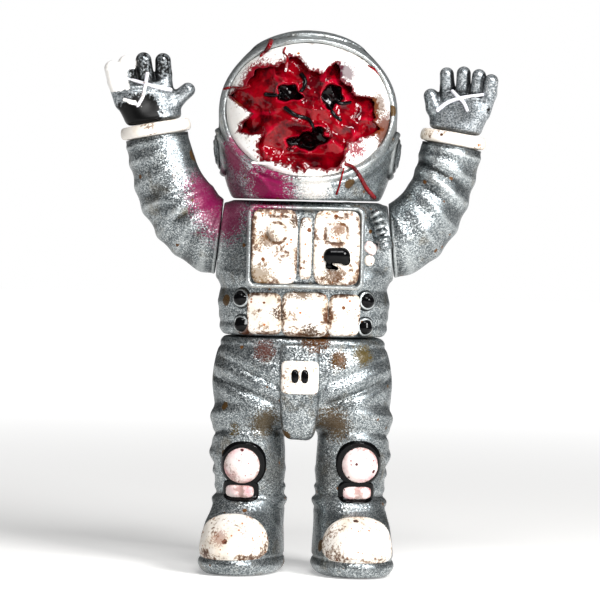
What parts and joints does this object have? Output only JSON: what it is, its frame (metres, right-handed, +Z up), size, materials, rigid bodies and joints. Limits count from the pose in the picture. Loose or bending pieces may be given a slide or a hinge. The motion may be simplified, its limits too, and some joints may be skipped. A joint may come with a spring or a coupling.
{
  "type": "action figure",
  "caption": "Soft-vinyl astronaut figure standing with both arms raised, with a broken visor and turning head, waist and arms.",
  "frame": {"origin": "on the surface that the figure stands on, under the middle of its bounding box", "axes": "+Z up through the head, -Y out of the chest, +X towards the figure's own left hand"},
  "size_m": [0.1008, 0.0456, 0.14],
  "materials": {
    "silver_vinyl": "soft vinyl sprayed with coarse silver flake paint, satin",
    "white_vinyl": "soft vinyl hand painted warm white with rust-brown wash in the edges, satin",
    "black_gloss": "black enamel over vinyl, high gloss",
    "red_resin": "deep red translucent resin poured over vinyl, wet gloss"
  },
  "bodies": {
    "lower_body": {"lower_body_shell": "silver_vinyl", "front_flap": "white_vinyl", "right_knee_pad": "white_vinyl", "right_shin_pad": "white_vinyl", "right_knee_plate": "black_gloss", "left_knee_pad": "white_vinyl", "left_shin_pad": "white_vinyl", "left_knee_plate": "black_gloss", "right_toe_cap": "white_vinyl", "left_toe_cap": "white_vinyl"},
    "torso": {"torso_shell": "silver_vinyl", "chest_pack_case": "silver_vinyl", "right_chest_panel": "white_vinyl", "left_chest_panel": "white_vinyl", "chest_bar": "white_vinyl", "chest_knob": "black_gloss", "right_belly_panel": "white_vinyl", "belly_panel": "white_vinyl", "left_belly_panel": "white_vinyl", "right_upper_port": "black_gloss", "right_lower_port": "black_gloss", "left_upper_port": "black_gloss", "left_lower_port": "black_gloss", "shoulder_hose": "silver_vinyl", "hose_elbow": "silver_vinyl", "backpack": "silver_vinyl"},
    "head": {"helmet_shell": "silver_vinyl", "visor": "white_vinyl", "face_casting": "red_resin", "right_ear_cup": "silver_vinyl", "left_ear_cup": "silver_vinyl"},
    "right_arm": {"right_sleeve": "silver_vinyl", "right_cuff": "white_vinyl", "right_glove": "silver_vinyl"},
    "left_arm": {"left_sleeve": "silver_vinyl", "left_cuff": "white_vinyl", "left_glove": "silver_vinyl"}
  },
  "joints": [
    {"name": "waist", "type": "hinge", "parent": "lower_body", "child": "torso", "pos_m": [0.002, 0, 0.061], "axis": [0, 0, 1], "continuous": true},
    {"name": "neck", "type": "hinge", "parent": "torso", "child": "head", "pos_m": [0.002, 0, 0.096], "axis": [0, 0, 1], "continuous": true},
    {"name": "right_shoulder", "type": "hinge", "parent": "torso", "child": "right_arm", "pos_m": [-0.0202, 0, 0.0855], "axis": [-0.9954, 0, 0.0958], "continuous": true},
    {"name": "left_shoulder", "type": "hinge", "parent": "torso", "child": "left_arm", "pos_m": [0.0242, 0, 0.0855], "axis": [0.9954, 0, 0.0958], "continuous": true}
  ]
}
